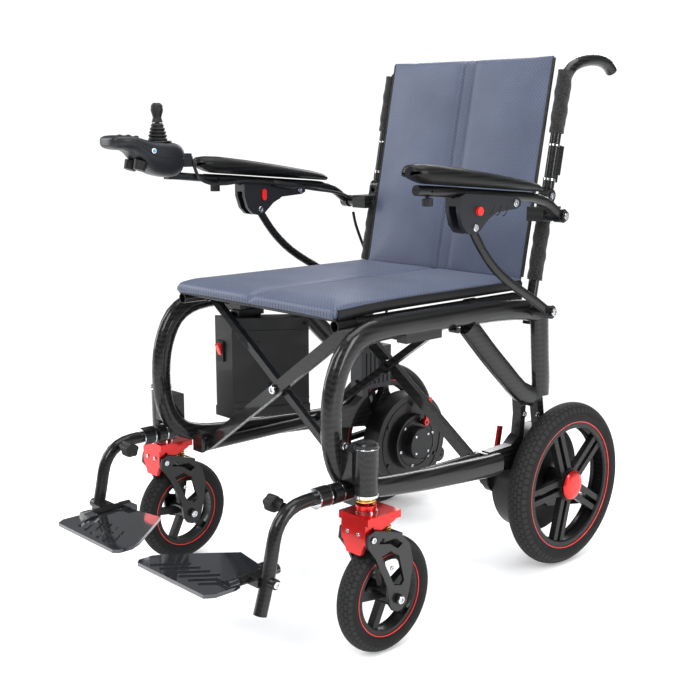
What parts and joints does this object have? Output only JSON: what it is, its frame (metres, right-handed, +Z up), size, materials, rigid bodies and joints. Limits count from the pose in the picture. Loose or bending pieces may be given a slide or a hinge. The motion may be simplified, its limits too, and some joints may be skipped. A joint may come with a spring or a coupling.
{
  "type": "folding power wheelchair",
  "caption": "Folding power wheelchair with a scissor frame, drive wheels with hub motors, sprung casters, flip-up armrests, a folding back and a joystick controller.",
  "frame": {"origin": "on the ground under the middle of the chair, at the bottom centre of its bounding box", "axes": "+Z up, -Y is where the sitter faces, +X is the sitter's left"},
  "size_m": [0.622, 0.968, 0.9451],
  "materials": {
    "carbon_frame": "black carbon fibre twill under gloss lacquer",
    "black_tube": "satin black anodised tube",
    "rim_black": "black carbon look, satin gloss",
    "tyre_rubber": "matt rubber with a fine block tread",
    "red_metal": "bright metallic red",
    "red_plastic": "glossy red plastic",
    "motor_metal": "satin black cast housing",
    "roller": "matt black",
    "gold_spring": "gold coated spring wire",
    "fork_metal": "satin black plate",
    "seat_vinyl": "slate blue perforated upholstery",
    "arm_foam": "black moulded foam",
    "dark_plastic": "fine textured dark grey",
    "battery_case": "fine textured near-black",
    "plate_plastic": "dark ribbed plate, glossy",
    "button_face": "blue gloss",
    "boot_rubber": "soft black",
    "gimbal_metal": "machined",
    "lead_sheath": "black cable sheath"
  },
  "bodies": {
    "right_frame": {"side_frame_right": "carbon_frame", "motor_right": "motor_metal", "arm_strut_right": "black_tube", "footrest_tube_right": "black_tube", "battery": "battery_case", "control_box": "dark_plastic", "controller_lead_frame": "lead_sheath"},
    "left_frame": {"side_frame_left": "carbon_frame", "motor_left": "motor_metal", "arm_strut_left": "black_tube", "footrest_tube_left": "black_tube"},
    "brace_a": {"cross_brace_a": "carbon_frame"},
    "brace_b": {"cross_brace_b": "carbon_frame"},
    "seat_rail_left": {"seat_rail_left": "black_tube"},
    "seat_rail_right": {"seat_rail_right": "black_tube"},
    "seat_half_right": {"seat_right": "seat_vinyl"},
    "seat_half_left": {"seat_left": "seat_vinyl"},
    "battery_rocker": {"battery_switch": "red_plastic"},
    "power_button": {"controller_button": "button_face"},
    "joystick_ring": {"joystick_gimbal": "gimbal_metal"},
    "joystick_stick": {"joystick_knob": "boot_rubber", "joystick_boot": "boot_rubber"},
    "back_frame_left": {"back_cane_left": "black_tube"},
    "back_lower_panel_left": {"back_lower_left": "seat_vinyl"},
    "back_upper_panel_left": {"back_upper_left": "seat_vinyl"},
    "armrest_left": {"arm_tube_left": "black_tube", "arm_pad_left": "arm_foam", "arm_bracket_left": "dark_plastic"},
    "arm_release_left": {"arm_button_left": "red_plastic"},
    "drive_wheel_left": {"drive_rim_left": "rim_black", "drive_tyre_left": "tyre_rubber", "hub_cap_left": "red_metal"},
    "clutch_left": {"clutch_lever_left": "red_metal"},
    "anti_tip_left": {"anti_tip_roller_left": "roller"},
    "caster_head_left": {"caster_bracket_left": "red_metal", "caster_springs_left": "gold_spring"},
    "caster_arm_left": {"caster_fork_left": "fork_metal"},
    "caster_wheel_left": {"caster_rim_left": "rim_black", "caster_tyre_left": "tyre_rubber"},
    "foot_flap_left": {"footplate_left": "plate_plastic"},
    "back_frame_right": {"back_cane_right": "black_tube"},
    "back_lower_panel_right": {"back_lower_right": "seat_vinyl"},
    "back_upper_panel_right": {"back_upper_right": "seat_vinyl"},
    "armrest_right": {"arm_tube_right": "black_tube", "arm_pad_right": "arm_foam", "arm_bracket_right": "dark_plastic", "controller_housing": "dark_plastic", "controller_lead_arm": "lead_sheath"},
    "arm_release_right": {"arm_button_right": "red_plastic"},
    "drive_wheel_right": {"drive_rim_right": "rim_black", "drive_tyre_right": "tyre_rubber", "hub_cap_right": "red_metal"},
    "clutch_right": {"clutch_lever_right": "red_metal"},
    "anti_tip_right": {"anti_tip_roller_right": "roller"},
    "caster_head_right": {"caster_bracket_right": "red_metal", "caster_springs_right": "gold_spring"},
    "caster_arm_right": {"caster_fork_right": "fork_metal"},
    "caster_wheel_right": {"caster_rim_right": "rim_black", "caster_tyre_right": "tyre_rubber"},
    "foot_flap_right": {"footplate_right": "plate_plastic"}
  },
  "joints": [
    {"name": "fold", "type": "hinge", "parent": "right_frame", "child": "brace_a", "pos_m": [-0.2, 0, 0.236], "axis": [0, -1, 0], "range_deg": [0, 35]},
    {"name": "brace_cross", "type": "hinge", "parent": "brace_a", "child": "brace_b", "pos_m": [0, 0, 0.37604], "axis": [0, -1, 0], "range_deg": [-70, 0]},
    {"name": "left_frame_level", "type": "hinge", "parent": "brace_b", "child": "left_frame", "pos_m": [0.2, 0, 0.236], "axis": [0, -1, 0], "range_deg": [0, 35]},
    {"name": "seat_rail_turn_left", "type": "hinge", "parent": "brace_a", "child": "seat_rail_left", "pos_m": [0.2, 0, 0.51608], "axis": [0, -1, 0], "range_deg": [-35, 0]},
    {"name": "seat_rail_turn_right", "type": "hinge", "parent": "brace_b", "child": "seat_rail_right", "pos_m": [-0.2, 0, 0.51608], "axis": [0, -1, 0], "range_deg": [0, 35]},
    {"name": "seat_lift", "type": "hinge", "parent": "brace_b", "child": "seat_half_right", "pos_m": [-0.2, 0, 0.51608], "axis": [0, -1, 0], "range_deg": [0, 97.1]},
    {"name": "seat_crease", "type": "hinge", "parent": "seat_half_right", "child": "seat_half_left", "pos_m": [0, 0, 0.52758], "axis": [0, -1, 0], "range_deg": [-124.2, 0]},
    {"name": "back_fold", "type": "hinge", "parent": "right_frame", "child": "back_frame_right", "pos_m": [-0.215, 0.281, 0.695], "axis": [1, 0, 0], "range_deg": [-99, 0]},
    {"name": "back_fold_left", "type": "hinge", "parent": "left_frame", "child": "back_frame_left", "pos_m": [0.215, 0.281, 0.695], "axis": [1, 0, 0], "range_deg": [-99, 0]},
    {"name": "back_lower_turn_left", "type": "hinge", "parent": "left_frame", "child": "back_lower_panel_left", "pos_m": [0.2, 0.26578, 0.69793], "axis": [0, -0.1891, -0.982], "range_deg": [0, 77]},
    {"name": "back_upper_turn_left", "type": "hinge", "parent": "back_frame_left", "child": "back_upper_panel_left", "pos_m": [0.2, 0.26578, 0.69793], "axis": [0, -0.1891, -0.982], "range_deg": [0, 77]},
    {"name": "armrest_lift_left", "type": "hinge", "parent": "left_frame", "child": "armrest_left", "pos_m": [0.27, 0.247, 0.664], "axis": [-1, 0, 0], "range_deg": [0, 100]},
    {"name": "arm_release_press_left", "type": "slide", "parent": "armrest_left", "child": "arm_release_left", "axis": [-1, 0, 0], "range_m": [0, 0.003], "stiffness_N_per_m": 400},
    {"name": "drive_spin_left", "type": "hinge", "parent": "left_frame", "child": "drive_wheel_left", "pos_m": [0.2425, 0.326, 0.155], "axis": [1, 0, 0], "continuous": true},
    {"name": "clutch_throw_left", "type": "hinge", "parent": "left_frame", "child": "clutch_left", "pos_m": [0.1265, 0.262, 0.178], "axis": [-1, 0, 0], "range_deg": [0, 40]},
    {"name": "anti_tip_spin_left", "type": "hinge", "parent": "left_frame", "child": "anti_tip_left", "pos_m": [0.205, 0.467, 0.087], "axis": [1, 0, 0], "continuous": true},
    {"name": "caster_swivel_left", "type": "hinge", "parent": "left_frame", "child": "caster_head_left", "pos_m": [0.273, -0.224, 0.25], "axis": [0, 0, 1], "continuous": true},
    {"name": "caster_suspension_left", "type": "hinge", "parent": "caster_head_left", "child": "caster_arm_left", "pos_m": [0.273, -0.24, 0.205], "axis": [1, 0, 0], "range_deg": [0, 4], "stiffness_Nm_per_rad": 150, "springref_deg": -3.44, "deforming": ["caster_springs_left"]},
    {"name": "caster_spin_left", "type": "hinge", "parent": "caster_arm_left", "child": "caster_wheel_left", "pos_m": [0.273, -0.185, 0.095], "axis": [1, 0, 0], "continuous": true},
    {"name": "footplate_flip_left", "type": "hinge", "parent": "left_frame", "child": "foot_flap_left", "pos_m": [0.205, -0.39, 0.16], "axis": [0, 1, 0], "range_deg": [0, 90]},
    {"name": "back_lower_turn_right", "type": "hinge", "parent": "right_frame", "child": "back_lower_panel_right", "pos_m": [-0.2, 0.26578, 0.69793], "axis": [0, 0.1891, 0.982], "range_deg": [0, 77]},
    {"name": "back_upper_turn_right", "type": "hinge", "parent": "back_frame_right", "child": "back_upper_panel_right", "pos_m": [-0.2, 0.26578, 0.69793], "axis": [0, 0.1891, 0.982], "range_deg": [0, 77]},
    {"name": "armrest_lift_right", "type": "hinge", "parent": "right_frame", "child": "armrest_right", "pos_m": [-0.27, 0.247, 0.664], "axis": [-1, 0, 0], "range_deg": [0, 100]},
    {"name": "arm_release_press_right", "type": "slide", "parent": "armrest_right", "child": "arm_release_right", "axis": [1, 0, 0], "range_m": [0, 0.003], "stiffness_N_per_m": 400},
    {"name": "drive_spin_right", "type": "hinge", "parent": "right_frame", "child": "drive_wheel_right", "pos_m": [-0.2425, 0.326, 0.155], "axis": [1, 0, 0], "continuous": true},
    {"name": "clutch_throw_right", "type": "hinge", "parent": "right_frame", "child": "clutch_right", "pos_m": [-0.1265, 0.341, 0.199], "axis": [-1, 0, 0], "range_deg": [0, 40]},
    {"name": "anti_tip_spin_right", "type": "hinge", "parent": "right_frame", "child": "anti_tip_right", "pos_m": [-0.205, 0.467, 0.087], "axis": [1, 0, 0], "continuous": true},
    {"name": "caster_swivel_right", "type": "hinge", "parent": "right_frame", "child": "caster_head_right", "pos_m": [-0.273, -0.224, 0.25], "axis": [0, 0, 1], "continuous": true},
    {"name": "caster_suspension_right", "type": "hinge", "parent": "caster_head_right", "child": "caster_arm_right", "pos_m": [-0.273, -0.24, 0.205], "axis": [1, 0, 0], "range_deg": [0, 4], "stiffness_Nm_per_rad": 150, "springref_deg": -3.44, "deforming": ["caster_springs_right"]},
    {"name": "caster_spin_right", "type": "hinge", "parent": "caster_arm_right", "child": "caster_wheel_right", "pos_m": [-0.273, -0.185, 0.095], "axis": [1, 0, 0], "continuous": true},
    {"name": "footplate_flip_right", "type": "hinge", "parent": "right_frame", "child": "foot_flap_right", "pos_m": [-0.205, -0.39, 0.16], "axis": [0, -1, 0], "range_deg": [0, 90]},
    {"name": "switch_rock", "type": "hinge", "parent": "right_frame", "child": "battery_rocker", "pos_m": [-0.189, -0.146, 0.412], "axis": [-1, 0, 0], "range_deg": [0, 16]},
    {"name": "power_press", "type": "slide", "parent": "armrest_right", "child": "power_button", "axis": [0, 0, -1], "range_m": [0, 0.0015], "stiffness_N_per_m": 300},
    {"name": "stick_fore_aft", "type": "hinge", "parent": "armrest_right", "child": "joystick_ring", "pos_m": [-0.27, -0.216, 0.778], "axis": [-1, 0, 0], "range_deg": [-12, 12], "stiffness_Nm_per_rad": 0.25},
    {"name": "stick_side", "type": "hinge", "parent": "joystick_ring", "child": "joystick_stick", "pos_m": [-0.27, -0.216, 0.778], "axis": [0, 1, 0], "range_deg": [-12, 12], "stiffness_Nm_per_rad": 0.25}
  ],
  "couplings": [
    {"joint": "brace_cross", "follows": "fold", "ratio": -2},
    {"joint": "left_frame_level", "follows": "fold", "ratio": 1},
    {"joint": "seat_rail_turn_left", "follows": "fold", "ratio": -1},
    {"joint": "seat_rail_turn_right", "follows": "fold", "ratio": 1},
    {"joint": "seat_lift", "follows": "fold", "ratio": 2.7743},
    {"joint": "seat_crease", "follows": "fold", "ratio": -3.5486},
    {"joint": "back_fold_left", "follows": "back_fold", "ratio": 1},
    {"joint": "back_lower_turn_left", "follows": "fold", "ratio": 2.2},
    {"joint": "back_upper_turn_left", "follows": "fold", "ratio": 2.2},
    {"joint": "footplate_flip_left", "follows": "fold", "ratio": 2.5714},
    {"joint": "back_lower_turn_right", "follows": "fold", "ratio": 2.2},
    {"joint": "back_upper_turn_right", "follows": "fold", "ratio": 2.2},
    {"joint": "footplate_flip_right", "follows": "fold", "ratio": 2.5714}
  ]
}
